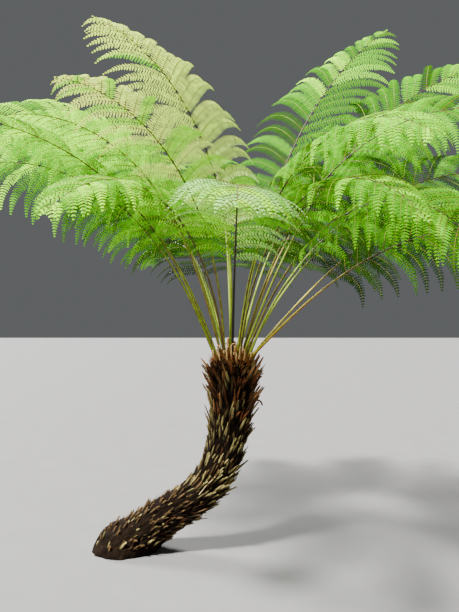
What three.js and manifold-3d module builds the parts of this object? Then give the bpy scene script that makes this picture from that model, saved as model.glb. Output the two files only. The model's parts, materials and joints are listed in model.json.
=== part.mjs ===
// A tree fern, in millimetres, +Z up. The origin is the middle of the flat cut under the trunk, at ground
// level. +X is to the right and +Y is away, as the fern is looked at from its open side.
// The trunk leans out of the ground, turns upright and is clad in the stubs of old stalks.
// A shuttlecock of fronds stands in sockets in its top. Each frond is a bare stalk and a blade, two solids
// that meet face to face where the frond starts to bend over. A blade is a rib with leaflets cut free down
// to it.
import * as THREE from "three";
import { mergeVertices } from "three/addons/utils/BufferGeometryUtils.js";
import Module from "manifold-3d";

const wasm = await Module();
wasm.setup();

const GAP = 0.3; // between solids that touch
const SOCKET_MARGIN = 0.35; // more than the gap, because the sides of a socket are flat

// Trunk: the route of its middle from under the ground to the crown, and the radii of its core.
const TRUNK_ROUTE = [
  [-70, 8, -150],
  [0, 0, 0],
  [120, -8, 108],
  [285, -12, 240],
  [480, -14, 358],
  [612, -8, 482],
  [708, 0, 650],
  [756, 6, 860],
  [784, 6, 1080],
  [783, 0, 1345],
].map((place) => new THREE.Vector3(...place));
const WAIST_RADIUS = 112;
const FLARE_EXTRA = 85; // more radius at the ground
const FLARE_FROM = 0.09; // share of the route that is at the ground
const FLARE_REACH = 0.1; // share of the route over which the flare dies away
const SHOULDER_EXTRA = 44; // more radius under the crown
const SHOULDER_LATE = 4; // how late it widens
const DOME_SHARE = 0.06; // share of the core, beyond the route, that closes it as a dome
const DOME_HEIGHT = 88;
const DOME_TOP = 0.25; // radius of its flat top, as a share
const TRUNK_SIDES = 12;
const TRUNK_STEPS = 14;
const SLAB = 1200; // side of the block that cuts the foot flat

// Stubs of old stalks, on the spiral that the fronds grow in.
const STUB_COUNT = 96;
const STUB_FIRST = 0.1; // share of the route where the lowest stub sits, and where the highest does
const STUB_LAST = 0.975;
const STUB_LENGTH = 150;
const STUB_UNEVEN = 0.15; // share by which the lengths vary
const STUB_WAVE = 2.4; // radians from one stub to the next in that variation
const STUB_WIDTH = 36;
const STUB_THICKNESS = 24;
const STUB_TAPER = 0.7;
const STUB_SIDES = 3;
const STUB_SUNK = 26; // depth of its root in the core
const STUB_SPLAY_LOW = 16; // degrees away from the trunk, at the foot and under the crown
const STUB_SPLAY_HIGH = 30;
const GOLDEN_ANGLE = 180 * (3 - Math.sqrt(5));

// Fronds.
const STALK_SHARE = 0.34; // of a frond's length is bare stalk
const STALK_RADIUS = 10.5;
const RIB_RADIUS = 6.5; // where the blade begins
const RIB_TIP_RADIUS = 3;
const STALK_SIDES = 5;
const STALK_STEPS = 4;
const SOCKET_DEPTH = 48; // how far a stalk goes down into the crown
const LINE_STEPS = 90;
const SWING_LATE = 1.5; // how late a frond swings sideways
// Where a tier stands in the crown.
const TIERS = {
  inner: { radius: 38, height: 78 },
  middle: { radius: 78, height: 54 },
  outer: { radius: 112, height: 20 },
};

// Heading in degrees (0 is +X, 90 is +Y), lift of the stalk above level, length, degrees that it has bent
// over at its tip, how late it bends, degrees that it swings sideways, degrees that its blade is turned about
// its rib, so that the fronds at the sides show their upper faces to the light, and its tier in the crown.
const FRONDS = [
  [14, 48, 2700, 58, 2, 6, 50, "outer"],
  [34, 58, 2700, 88, 1.6, -8, 42, "outer"],
  [72, 56, 2700, 86, 1.6, 6, 15, "outer"],
  [110, 57, 2600, 90, 1.6, 8, -15, "outer"],
  [150, 66, 2700, 74, 1.6, -6, -42, "outer"],
  [172, 70, 2800, 72, 1.6, 0, -52, "outer"],
  [192, 68, 2750, 108, 1.8, 0, -54, "outer"],
  [213, 68, 2700, 82, 1.5, 0, -40, "outer"],
  [246, 72, 2400, 120, 1.4, -8, -14, "outer"],
  [296, 74, 2400, 130, 1.5, 10, 14, "outer"],
  [316, 62, 2500, 146, 1.9, -8, 30, "outer"],
  [340, 45, 2700, 98, 2, 4, 48, "outer"],
  [357, 70, 2800, 86, 1.2, -6, 54, "outer"],
  [20, 72, 3000, 70, 1.5, 0, 50, "middle"],
  [52, 68, 2700, 80, 1.6, 10, 30, "middle"],
  [92, 70, 2600, 84, 1.6, 0, 0, "middle"],
  [130, 68, 2700, 82, 1.6, -8, -34, "middle"],
  [168, 77, 2800, 76, 1.5, 4, -54, "middle"],
  [202, 74, 2700, 112, 2.2, -2, -50, "middle"],
  [227, 86, 2500, 100, 1.5, 8, 8, "middle"],
  [272, 67, 2450, 102, 1.1, -4, -10, "middle"],
  [302, 78, 2600, 124, 1.7, 6, 26, "middle"],
  [328, 71, 2800, 103, 1.9, 8, 46, "middle"],
  [354, 69, 2900, 55, 1.9, 6, 56, "middle"],
  [24, 79, 3100, 42, 1.6, -4, 34, "inner"],
  [96, 76, 2700, 66, 1.5, 10, 0, "inner"],
  [240, 98, 2750, 104, 1.3, -4, -12, "inner"],
].map(([heading, lift, length, drop, late, swing, turn, tier], i) => {
  const name = `frond_${String(i + 1).padStart(2, "0")}`;
  return { name, heading, lift, length, drop, late, swing, turn, tier };
});

// Leaflets. They are fewer than on the plant, and each fills most of its share of the rib.
const PAIRS = 13;
const LEAFLET_LENGTH = 490; // the longest, on a frond of FULL_LENGTH
const FULL_LENGTH = 2750;
const LONGEST_AT = 0.32; // share of the way up the blade
const LEAFLET_FIRST = 0.6; // length of the lowest pair, as a share of the longest
const LEAFLET_LAST = 0.08; // length of the highest pair
const SHORTENS = 2.4; // how late the leaflets shorten towards the tip
const LEAFLETS_END = 0.975; // share of the blade that they cover
const LEAFLET_FILL = 0.78; // of the room along the rib, at the widest
const ROOT_FILL = 0.4;
const WIDEST_AT = 0.42;
const LEAFLET_THICKNESS = 0.015; // of its length
const LEAST_THICKNESS = 2.5;
const FORWARD_FIRST = 74; // degrees between leaflet and rib, at the foot and at the tip of the blade
const FORWARD_LAST = 42;
const LEAFLET_LIFT = 6; // degrees above the plane of the blade at its root
const LEAFLET_DROOP = 26; // degrees that it has bent down by its tip
const REACHES = [1, 0.8, 0.62, 0.45]; // shares of its length that are tried beside another frond
const CLEARANCE = 1;

// Young fronds, still coiled, in the middle of the crown.
const CROZIERS = [
  { heading: 320, radius: 27, height: 40, coil: 15 },
  { heading: 165, radius: 30, height: 98, coil: 18 },
  { heading: 57, radius: 45, height: 70, coil: 15 },
];
const CROZIER_RADIUS = 9;
const CROZIER_TIP = 0.5; // its radius at the end of the coil, as a share
const CROZIER_SIDES = 6;
const CROZIER_STEPS = 12;
const COIL_TURN = 300; // degrees
const COIL_CLOSES = 0.35; // share of its radius that the coil loses
const CROZIER_FOOT = 84; // height of its foot over the end of the trunk's route

const BARK = new THREE.MeshStandardMaterial({ color: 0x3b2a1c, roughness: 0.95, metalness: 0 });
const STALK = new THREE.MeshStandardMaterial({ color: 0x8a8a2c, roughness: 0.55, metalness: 0 });
const LEAF = new THREE.MeshStandardMaterial({ color: 0x6fa52c, roughness: 0.6, metalness: 0 });
const SCALES = new THREE.MeshStandardMaterial({ color: 0x9a6a34, roughness: 0.9, metalness: 0 });

const UP = new THREE.Vector3(0, 0, 1);
const AWAY = new THREE.Vector3(0, 1, 0);
const CROWN = TRUNK_ROUTE.at(-1);
const radians = THREE.MathUtils.degToRad;
const mix = THREE.MathUtils.lerp;

const level = (degrees) => new THREE.Vector3(Math.cos(radians(degrees)), Math.sin(radians(degrees)), 0);

// A place reached by steps along directions, and a direction made of such steps.
const step = (place, [way, far]) => place.addScaledVector(way, far);
const reached = (start, ...steps) => steps.reduce(step, start.clone());
const direction = (...steps) => reached(new THREE.Vector3(), ...steps).normalize();
const cross = (a, b) => new THREE.Vector3().crossVectors(a, b);

// A solid from a closed geometry.
function solidOf(geometry) {
  geometry.deleteAttribute("normal");
  geometry.deleteAttribute("uv");
  const merged = mergeVertices(geometry, 1e-3);
  const vertProperties = merged.attributes.position.array;
  const triVerts = new Uint32Array(merged.index.array);
  return new wasm.Manifold(new wasm.Mesh({ numProp: 3, vertProperties, triVerts }));
}

// A limb: a cylinder laid along a line of sections. A section has its middle, its directions across and on
// top, and its half width and half height. Across x on top is straight ahead.
function limb(sides, steps, sectionAt) {
  const geometry = new THREE.CylinderGeometry(1, 1, 1, sides, steps);
  const { position } = geometry.attributes;
  for (let i = 0; i < position.count; i++) {
    const { middle, across, top, width, height } = sectionAt(position.getY(i) + 0.5);
    const place = reached(middle, [across, width * position.getX(i)], [top, -height * position.getZ(i)]);
    position.setXYZ(i, ...place);
  }
  return solidOf(geometry);
}

// The one body of what is joined, without loose scraps.
function joined(solids) {
  const bodies = wasm.Manifold.union(solids).decompose();
  return bodies.reduce((best, body) => (body.volume() > best.volume() ? body : best));
}

function node(name, solid, material) {
  const { vertProperties, triVerts } = solid.getMesh();
  const geometry = new THREE.BufferGeometry();
  geometry.setAttribute("position", new THREE.BufferAttribute(vertProperties, 3));
  geometry.setIndex(new THREE.BufferAttribute(triVerts, 1));
  const made = new THREE.Mesh(geometry, material);
  made.name = name;
  return made;
}

// The trunk.
const trunkCurve = new THREE.CatmullRomCurve3(TRUNK_ROUTE, false, "centripetal");

function trunkSection(t) {
  const ahead = trunkCurve.getTangentAt(t);
  const across = cross(AWAY, ahead).normalize();
  const flare = FLARE_EXTRA * Math.exp(-Math.max(t - FLARE_FROM, 0) / FLARE_REACH);
  const shoulder = SHOULDER_EXTRA * t ** SHOULDER_LATE;
  const radius = WAIST_RADIUS + flare + shoulder;
  const middle = trunkCurve.getPointAt(t);
  return { middle, ahead, across, top: cross(ahead, across), width: radius, height: radius };
}

// Above the route's end the core goes on as a dome.
function coreSection(share) {
  const t = share / (1 - DOME_SHARE);
  if (t <= 1) return trunkSection(t);
  const end = trunkSection(1);
  const climb = Math.min((share - (1 - DOME_SHARE)) / DOME_SHARE, 1);
  const radius = end.width * Math.sqrt(1 - (1 - DOME_TOP ** 2) * climb ** 2);
  const middle = reached(end.middle, [end.ahead, DOME_HEIGHT * climb]);
  return { ...end, middle, width: radius, height: radius };
}

function stub(i) {
  const age = (i + 0.5) / STUB_COUNT; // 0 is the oldest and lowest
  const { middle, ahead, across, top, width } = trunkSection(mix(STUB_FIRST, STUB_LAST, age));
  const turn = radians(GOLDEN_ANGLE * i);
  const outward = direction([across, Math.cos(turn)], [top, Math.sin(turn)]);
  const splay = radians(mix(STUB_SPLAY_LOW, STUB_SPLAY_HIGH, age ** 2));
  const way = direction([ahead, Math.cos(splay)], [outward, Math.sin(splay)]);
  const back = direction([outward, Math.cos(splay)], [ahead, -Math.sin(splay)]);
  const length = STUB_LENGTH * (1 - STUB_UNEVEN + STUB_UNEVEN * Math.sin(STUB_WAVE * i));
  const root = reached(middle, [outward, width - STUB_SUNK]);
  return limb(STUB_SIDES, 1, (t) => ({
    middle: reached(root, [way, (length + STUB_SUNK) * t]),
    across: cross(way, back),
    top: back.clone().negate(),
    width: (STUB_WIDTH / 2) * mix(1, STUB_TAPER, t),
    height: (STUB_THICKNESS / 2) * mix(1, STUB_TAPER, t),
  }));
}

// A frond's line. It leaves the crown by its heading and lift, and bends over and swings as it goes out.
function frondLine({ heading, lift, length, drop, late, swing, turn, tier }) {
  const { radius, height } = TIERS[tier];
  const roll = radians(turn);
  const place = reached(CROWN, [level(heading), radius], [UP, height]);
  const sections = [];
  for (let i = 0; i <= LINE_STEPS; i++) {
    const u = i / LINE_STEPS;
    const climb = radians(lift - drop * u ** late);
    const outward = level(heading + swing * u ** SWING_LATE);
    const ahead = direction([outward, Math.cos(climb)], [UP, Math.sin(climb)]);
    const sideways = cross(UP, outward);
    const across = direction([sideways, Math.cos(roll)], [cross(ahead, sideways), Math.sin(roll)]);
    sections.push({ middle: place.clone(), ahead, across });
    place.addScaledVector(ahead, length / LINE_STEPS);
  }
  return (u) => {
    const i = THREE.MathUtils.clamp(Math.floor(u * LINE_STEPS), 0, LINE_STEPS - 1);
    const [low, high] = [sections[i], sections[i + 1]];
    const share = u * LINE_STEPS - i;
    const ahead = low.ahead.clone().lerp(high.ahead, share).normalize();
    const across = low.across.clone().lerp(high.across, share).normalize();
    const middle = low.middle.clone().lerp(high.middle, share);
    return { middle, ahead, across, top: cross(ahead, across) };
  };
}

// The stalk, or, with a margin, the socket that it stands in.
function stalk({ length, line }, margin = 0) {
  const first = -(SOCKET_DEPTH + margin) / length;
  const last = STALK_SHARE - GAP / 2 / length;
  return limb(STALK_SIDES, STALK_STEPS, (t) => {
    const u = mix(first, last, t);
    const radius = mix(STALK_RADIUS, RIB_RADIUS, Math.max(u, 0) / STALK_SHARE) + margin;
    return { ...line(u), width: radius, height: radius };
  });
}

// Share of the longest leaflet's length at a share of the way up the blade.
function leafletShare(v) {
  if (v < LONGEST_AT) return 1 - (1 - LEAFLET_FIRST) * (1 - v / LONGEST_AT) ** 2;
  return 1 - (1 - LEAFLET_LAST) * ((v - LONGEST_AT) / (1 - LONGEST_AT)) ** SHORTENS;
}

const pairAt = (pair) => (LEAFLETS_END * (pair + 0.5)) / PAIRS;

// The four corners of the rib at a share of the way up the blade.
function ribRing({ length, line }, v) {
  const { middle, across, top } = line(mix(STALK_SHARE + GAP / 2 / length, 1, v));
  const radius = mix(RIB_RADIUS, RIB_TIP_RADIUS, v);
  return [
    reached(middle, [across, radius]),
    reached(middle, [top, radius]),
    reached(middle, [across, -radius]),
    reached(middle, [top, -radius]),
  ];
}

// The rings between which a pair of leaflets is rooted.
function rootRings(plan, pair) {
  const half = (ROOT_FILL * LEAFLETS_END) / PAIRS / 2;
  return [ribRing(plan, pairAt(pair) - half), ribRing(plan, pairAt(pair) + half)];
}

// The corners of one leaflet. A hand of 1 is across, and -1 is the other side.
function leaflet(plan, pair, hand, reach) {
  const { length, line } = plan;
  const v = pairAt(pair);
  const root = line(mix(STALK_SHARE, 1, v));
  const forward = radians(mix(FORWARD_FIRST, FORWARD_LAST, v));
  const out = direction([root.across, hand * Math.sin(forward)], [root.ahead, Math.cos(forward)]);
  const along = direction([root.ahead, Math.sin(forward)], [root.across, -hand * Math.cos(forward)]);
  const down = direction([UP, -1], [out, out.z]);
  const long = reach * leafletShare(v) * LEAFLET_LENGTH * (length / FULL_LENGTH);
  const room = ((length * (1 - STALK_SHARE) * LEAFLETS_END) / PAIRS) * Math.sin(forward);
  const thick = Math.max(long * LEAFLET_THICKNESS, LEAST_THICKNESS);
  const spine = (t) => {
    const bend = radians(LEAFLET_DROOP * t ** 2 - LEAFLET_LIFT);
    return reached(root.middle, [out, long * t * Math.cos(bend)], [down, long * t * Math.sin(bend)]);
  };
  const [low, high] = rootRings(plan, pair);
  const side = hand > 0 ? 0 : 2;
  return {
    lowSide: low[side],
    lowTop: low[1],
    lowUnder: low[3],
    highSide: high[side],
    highTop: high[1],
    highUnder: high[3],
    lowEdge: reached(spine(WIDEST_AT), [along, (-room * LEAFLET_FILL) / 2]),
    highEdge: reached(spine(WIDEST_AT), [along, (room * LEAFLET_FILL) / 2]),
    ridge: reached(spine(WIDEST_AT), [root.top, thick]),
    tip: spine(1),
  };
}

// Faces of a leaflet on the side across, by the names of its corners, and of the bare rib in its place.
const LEAFLET_FACES = [
  ["lowTop", "highTop", "ridge"],
  ["lowSide", "lowTop", "ridge"],
  ["lowEdge", "lowSide", "ridge"],
  ["highTop", "highSide", "ridge"],
  ["highSide", "highEdge", "ridge"],
  ["tip", "lowEdge", "ridge"],
  ["highEdge", "tip", "ridge"],
  ["lowSide", "lowEdge", "lowUnder"],
  ["lowEdge", "highUnder", "lowUnder"],
  ["lowEdge", "highEdge", "highUnder"],
  ["highUnder", "highEdge", "highSide"],
  ["lowEdge", "tip", "highEdge"],
];
const BARE_FACES = [
  ["lowSide", "lowTop", "highTop"],
  ["lowSide", "highTop", "highSide"],
  ["lowSide", "highSide", "highUnder"],
  ["lowSide", "highUnder", "lowUnder"],
];
const faces = (corners, names) => names.map((face) => face.map((name) => corners[name]));
const turned = (triangles) => triangles.map((triangle) => triangle.toReversed());
const skin = (triangles) => solidOf(new THREE.BufferGeometry().setFromPoints(triangles.flat()));

// One leaflet on its own, closed at its root.
function looseLeaflet(corners, hand) {
  const triangles = [...faces(corners, LEAFLET_FACES), ...turned(faces(corners, BARE_FACES))];
  return skin(hand > 0 ? triangles : turned(triangles));
}

// A blade in one skin, from the foot of its rib to the tip. A leaflet that is left out has no reach.
function blade(plan, reaches) {
  const triangles = [];
  const tube = (low, high) => {
    for (let i = 0; i < 4; i++) {
      const j = (i + 1) % 4;
      triangles.push([low[i], low[j], high[j]], [low[i], high[j], high[i]]);
    }
  };
  let last = ribRing(plan, 0);
  triangles.push([last[0], last[3], last[2]], [last[0], last[2], last[1]]);
  for (let pair = 0; pair < PAIRS; pair++) {
    const [low, high] = rootRings(plan, pair);
    tube(last, low);
    for (const hand of [1, -1]) {
      const reach = reaches[pair][hand];
      const side = faces(leaflet(plan, pair, hand, reach), reach ? LEAFLET_FACES : BARE_FACES);
      triangles.push(...(hand > 0 ? side : turned(side)));
    }
    last = high;
  }
  const end = ribRing(plan, 1);
  tube(last, end);
  triangles.push([end[0], end[1], end[2]], [end[0], end[2], end[3]]);
  return skin(triangles);
}

// A crozier, or its socket: an upright stalk that ends in a coil.
function crozier({ heading, radius, height, coil }, margin = 0) {
  const outward = level(heading);
  const across = cross(UP, outward);
  const foot = reached(CROWN, [outward, radius], [UP, CROZIER_FOOT - SOCKET_DEPTH - margin]);
  const stem = height + SOCKET_DEPTH + margin;
  const middleOfCoil = reached(foot, [UP, stem], [outward, -coil]);
  const coilLength = coil * radians(COIL_TURN);
  return limb(CROZIER_SIDES, CROZIER_STEPS, (t) => {
    const far = t * (stem + coilLength);
    const wound = Math.max(far - stem, 0) / coilLength;
    const turn = radians(COIL_TURN * wound);
    const size = coil * (1 - COIL_CLOSES * wound);
    const thick = CROZIER_RADIUS * mix(1, CROZIER_TIP, wound) + margin;
    const middle = wound
      ? reached(middleOfCoil, [outward, size * Math.cos(turn)], [UP, size * Math.sin(turn)])
      : reached(foot, [UP, far]);
    const ahead = direction([UP, Math.cos(turn)], [outward, -Math.sin(turn)]);
    return { middle, across, top: cross(ahead, across), width: thick, height: thick };
  });
}

const fronds = FRONDS.map((frond) => {
  const plan = { ...frond, line: frondLine(frond) };
  return { plan, stalk: stalk(plan), reaches: Array.from({ length: PAIRS }, () => ({ 1: 0, "-1": 0 })) };
});
const croziers = CROZIERS.map((plan) => crozier(plan));

// The trunk: core and stubs in one, less the sockets and all that is under the ground.
const underground = solidOf(new THREE.BoxGeometry(SLAB, SLAB, SLAB).translate(0, 0, -SLAB / 2));
const core = limb(TRUNK_SIDES, TRUNK_STEPS, coreSection);
const stubs = Array.from({ length: STUB_COUNT }, (_, i) => stub(i));
const sockets = [
  ...fronds.map(({ plan }) => stalk(plan, SOCKET_MARGIN)),
  ...CROZIERS.map((plan) => crozier(plan, SOCKET_MARGIN)),
];
const clad = joined([core, ...stubs]);
const trunk = joined([clad.subtract(wasm.Manifold.union([underground, ...sockets]))]);

// A leaflet is tried against the other limbs and leaflets, pair by pair up the fronds. One that comes too
// close is tried shorter, and is left out where that doesn't help.
const boxesMeet = (a, b) => [0, 1, 2].every((i) => a.min[i] < b.max[i] && b.min[i] < a.max[i]);
const placed = (solid, frond) => ({ solid, frond, box: solid.boundingBox() });
const standing = [
  placed(trunk),
  ...croziers.map((solid) => placed(solid)),
  ...fronds.map((frond) => placed(frond.stalk, frond)),
  ...fronds.map((frond) => placed(blade(frond.plan, frond.reaches), frond)),
];
for (let pair = 0; pair < PAIRS; pair++)
  for (const frond of fronds)
    for (const hand of [1, -1])
      for (const reach of REACHES) {
        const tried = placed(looseLeaflet(leaflet(frond.plan, pair, hand, reach), hand), frond);
        const near = standing.filter((other) => other.frond !== frond && boxesMeet(other.box, tried.box));
        if (near.some((other) => other.solid.minGap(tried.solid, CLEARANCE) < CLEARANCE)) continue;
        frond.reaches[pair][hand] = reach;
        standing.push(tried);
        break;
      }

const fern = new THREE.Group();
fern.add(node("trunk", trunk, BARK));
croziers.forEach((solid, i) => fern.add(node(`crozier_${i + 1}`, solid, SCALES)));
for (const { plan, stalk: bare, reaches } of fronds) {
  fern.add(node(`${plan.name}_stalk`, bare, STALK));
  fern.add(node(`${plan.name}_blade`, blade(plan, reaches), LEAF));
}

export default fern;
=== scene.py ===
"""The looks of a tree fern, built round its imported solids, in metres, +Z up.

Run as a script, it makes the trunk, the fronds, the young fronds and the stage by its own operators.
"""

import json
import random
from collections import namedtuple
from math import cos, exp, pi, radians, sin, sqrt, tau

import bmesh
import bpy
import numpy as np
from bpy.props import FloatProperty, FloatVectorProperty, IntProperty, PointerProperty
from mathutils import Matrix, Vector, noise

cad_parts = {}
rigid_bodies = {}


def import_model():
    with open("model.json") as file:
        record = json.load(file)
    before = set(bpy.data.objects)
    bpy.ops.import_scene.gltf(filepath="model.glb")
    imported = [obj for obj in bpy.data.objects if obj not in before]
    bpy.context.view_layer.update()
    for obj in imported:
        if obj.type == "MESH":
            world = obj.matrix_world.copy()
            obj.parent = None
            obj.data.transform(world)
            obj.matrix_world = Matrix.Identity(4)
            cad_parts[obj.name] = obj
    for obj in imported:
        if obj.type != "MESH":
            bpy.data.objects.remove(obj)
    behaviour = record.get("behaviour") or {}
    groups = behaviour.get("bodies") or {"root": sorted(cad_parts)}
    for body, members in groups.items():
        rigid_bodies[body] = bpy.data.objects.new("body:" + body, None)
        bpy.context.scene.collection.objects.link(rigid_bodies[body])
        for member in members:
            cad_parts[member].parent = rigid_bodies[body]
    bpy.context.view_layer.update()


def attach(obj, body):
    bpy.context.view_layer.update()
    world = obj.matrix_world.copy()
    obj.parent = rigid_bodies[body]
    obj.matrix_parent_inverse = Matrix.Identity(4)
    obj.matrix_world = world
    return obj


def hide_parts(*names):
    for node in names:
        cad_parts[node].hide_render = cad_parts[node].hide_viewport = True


bl_info = {
    "name": "Tree fern",
    "version": (1, 0, 0),
    "blender": (4, 5, 0),
    "location": "3D View > Sidebar > Tree fern",
    "description": "Builds a tree fern with a leaning stub-clad trunk and a crown of arching fronds",
    "category": "Add Mesh",
}

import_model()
BODY = "root"
MM = 0.001

# Kinds of node that are used often, with their settings and output.
SUM, PRODUCT, COSINE, SINE = (
    ("ShaderNodeMath", {"operation": name}) for name in ("ADD", "MULTIPLY", "COSINE", "SINE")
)
VECTOR_SUM, SCALED, CROSS = (
    ("ShaderNodeVectorMath", {"operation": name}) for name in ("ADD", "SCALE", "CROSS_PRODUCT")
)
BLEND = ("ShaderNodeMix", {"data_type": "RGBA"})
GRAIN, SHIFT = (("ShaderNodeAttribute", {"attribute_name": name}, "Vector") for name in ("grain", "shift"))
TYPES = [{"data_type": name} for name in ("FLOAT", "INT", "FLOAT_VECTOR")]
VECTOR = TYPES[2]
NUMBER, WHOLE, DIRECTION = (("GeometryNodeInputNamedAttribute", kind, "Attribute") for kind in TYPES)
CHANCE, CHOICE, ANYWHERE = (("FunctionNodeRandomValue", kind) for kind in TYPES)
STORE = "GeometryNodeStoreNamedAttribute"

UP = np.array([0.0, 0.0, 1.0])
AWAY = np.array([0.0, 1.0, 0.0])
GOLDEN_ANGLE = pi * (3 - sqrt(5))

# The trunk's route and radii, as in the solids.
TRUNK_ROUTE = MM * np.array(
    [[-70, 8, -150], [0, 0, 0], [120, -8, 108], [285, -12, 240], [480, -14, 358]]
    + [[612, -8, 482], [708, 0, 650], [756, 6, 860], [784, 6, 1080], [783, 0, 1345]]
)
WAIST_RADIUS = 112 * MM
FLARE_EXTRA = 85 * MM
FLARE_FROM = 0.09
FLARE_REACH = 0.1
SHOULDER_EXTRA = 44 * MM
SHOULDER_LATE = 4
DOME_SHARE = 0.06
DOME_HEIGHT = 88 * MM
DOME_TOP = 0.25
CROWN = TRUNK_ROUTE[-1]

# The fronds' rule, as in the solids.
STALK_SHARE = 0.34
STALK_RADIUS = 10.5 * MM
RIB_RADIUS = 6.5 * MM
RIB_TIP_RADIUS = 3 * MM
SOCKET_DEPTH = 48 * MM
LINE_STEPS = 90
SWING_LATE = 1.5
# How far from the trunk's middle each tier stands, and how high.
TIERS = {"inner": (38 * MM, 78 * MM), "middle": (78 * MM, 54 * MM), "outer": (112 * MM, 20 * MM)}
FULL_LENGTH = 2.75
LONGEST_AT = 0.32
LEAFLET_FIRST = 0.6
LEAFLET_LAST = 0.08
SHORTENS = 2.4
LEAFLETS_END = 0.975
FORWARD_FIRST = radians(74)
FORWARD_LAST = radians(42)
LEAFLET_LIFT = radians(6)
LEAFLET_DROOP = radians(26)
RIB_STEPS = 60
LEAFLET_STEPS = 10

# As in the solids: heading, lift, length, drop of the tip, how late it bends, swing, turn of the blade, tier.
# Then how pale the leaves are, from 0, deep green, to 6, bleached, and the stalk's finish if it isn't green.
# The paleness paints light as well as the leaves' own green: sunlit fronds high in the crown are painted
# paler, up to painted highlights, and shaded fronds low in the crown are painted darker.
Frond = namedtuple("Frond", "heading lift length drop late swing turn tier pale finish", defaults=["green"])
FRONDS = [
    [14, 48, 2.7, 58, 2.0, 6, 50, "outer", 1.4, "red"],
    [34, 58, 2.7, 88, 1.6, -8, 42, "outer", 1.4],
    [72, 56, 2.7, 86, 1.6, 6, 15, "outer", 1.0],
    [110, 57, 2.6, 90, 1.6, 8, -15, "outer", 1.0],
    [150, 66, 2.7, 74, 1.6, -6, -42, "outer", 1.6, "brown"],
    [172, 70, 2.8, 72, 1.6, 0, -52, "outer", 3.0],
    [192, 68, 2.75, 108, 1.8, 0, -54, "outer", 3.0],
    [213, 68, 2.7, 82, 1.5, 0, -40, "outer", 2.8],
    [246, 72, 2.4, 120, 1.4, -8, -14, "outer", 3.0, "brown"],
    [296, 74, 2.4, 130, 1.5, 10, 14, "outer", 2.0],
    [316, 62, 2.5, 146, 1.9, -8, 30, "outer", 2.2, "brown"],
    [340, 45, 2.7, 98, 2.0, 4, 48, "outer", 1.2, "red"],
    [357, 70, 2.8, 86, 1.2, -6, 54, "outer", 1.6],
    [20, 72, 3.0, 70, 1.5, 0, 50, "middle", 1.6, "brown"],
    [52, 68, 2.7, 80, 1.6, 10, 30, "middle", 1.2],
    [92, 70, 2.6, 84, 1.6, 0, 0, "middle", 1.2],
    [130, 68, 2.7, 82, 1.6, -8, -34, "middle", 1.4],
    [168, 77, 2.8, 76, 1.5, 4, -54, "middle", 4.0],
    [202, 74, 2.7, 112, 2.2, -2, -50, "middle", 4.4, "brown"],
    [227, 86, 2.5, 100, 1.5, 8, 8, "middle", 5.4],
    [272, 67, 2.45, 102, 1.1, -4, -10, "middle", 4.0, "dark"],
    [302, 78, 2.6, 124, 1.7, 6, 26, "middle", 2.6],
    [328, 71, 2.8, 103, 1.9, 8, 46, "middle", 1.7, "brown"],
    [354, 69, 2.9, 55, 1.9, 6, 56, "middle", 2.0],
    [24, 79, 3.1, 42, 1.6, -4, 34, "inner", 2.2],
    [96, 76, 2.7, 66, 1.5, 10, 0, "inner", 1.6],
    [240, 98, 2.75, 104, 1.3, -4, -12, "inner", 6.0],
]
FRONDS = [Frond(*plan) for plan in FRONDS]

# Young fronds, as in the solids: heading, and in mm distance out, height of the stem and radius of the coil.
CROZIERS = [(320, 27, 40, 15), (165, 30, 98, 18), (57, 45, 70, 15)]
CROZIER_RADIUS = 9 * MM
CROZIER_FOOT = 84 * MM
COIL_TURN = radians(560)

# Dead stalks on the trunk, as points in mm, a radius and a finish, straw or brown. Then curled young stalks
# on the dome: heading, distance out and height.
DEAD_STALKS = [
    ([[552, -150, 437], [600, -158, 500], [650, -150, 545], [704, -135, 604]], 4, 0),
    ([[880, -20, 990], [925, -4, 1052], [966, 0, 1084], [992, 0, 1076], [1008, 0, 1046]], 11, 1),
]
CURLS = [(208, 135, 62), (222, 118, 84), (235, 142, 58), (247, 116, 92), (256, 138, 66), (268, 122, 98)]
CURLS += [(281, 142, 60), (292, 126, 84), (306, 136, 70), (330, 140, 56), (20, 135, 60), (75, 130, 70)]
CURLS += [(120, 138, 58), (165, 132, 66)]

# Radius of the ring of grain that patterns follow, on limbs and on the trunk's mat.
GRAIN_RADIUS = 12 * MM
MAT_GRAIN_RADIUS = 130 * MM
# The share of light that goes through a leaf.
LEAF_GLOW = 0.17
# The width of a leaf segment, as a share of the spacing.
SEGMENT_FILL = 0.82
# Rootlets and stubs stay this far off the ground, and stubs end at this share of the trunk's route.
LOWEST = 30 * MM
STUBS_END = 0.955
# Shares of the stubs, counted from the foot: the old ones end and the young ones begin.
OLD_UNTIL = 0.52
YOUNG_FROM = 0.72
# The mat swells by this share of its relief, but not beyond this share of the trunk with its dome.
SWELL = 0.6
SWELL_UNTIL = 0.92

# The camera, at the photo's angle, and lamps: name, place, width in degrees and power.
CAMERA_PLACE = (0.765, -4.53, 1.60)
CAMERA_TILT = radians(92.25)
LAMPS = [("key", (-3, -3.4, 9), 8, 20), ("back", (-3.5, 5.5, 8), 20, 9), ("fill", (5, -7, 3.5), 60, 0.3)]
LAMPS_AIM = Vector((0.8, 0.1, 1.5))


def linear(colour):
    """The linear colour that a shader takes, from an sRGB hex value."""
    shares = [int(colour[i : i + 2], 16) / 255 for i in (1, 3, 5)]
    return tuple(c / 12.92 if c <= 0.04045 else ((c + 0.055) / 1.055) ** 2.4 for c in shares)


def size_property(name, description, default):
    return FloatProperty(name=name, description=description, default=default, unit="LENGTH", min=0)


def colour_property(name, description, colour):
    return FloatVectorProperty(
        name=name, description=description, default=linear(colour), subtype="COLOR", size=3, min=0, max=1
    )


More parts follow.
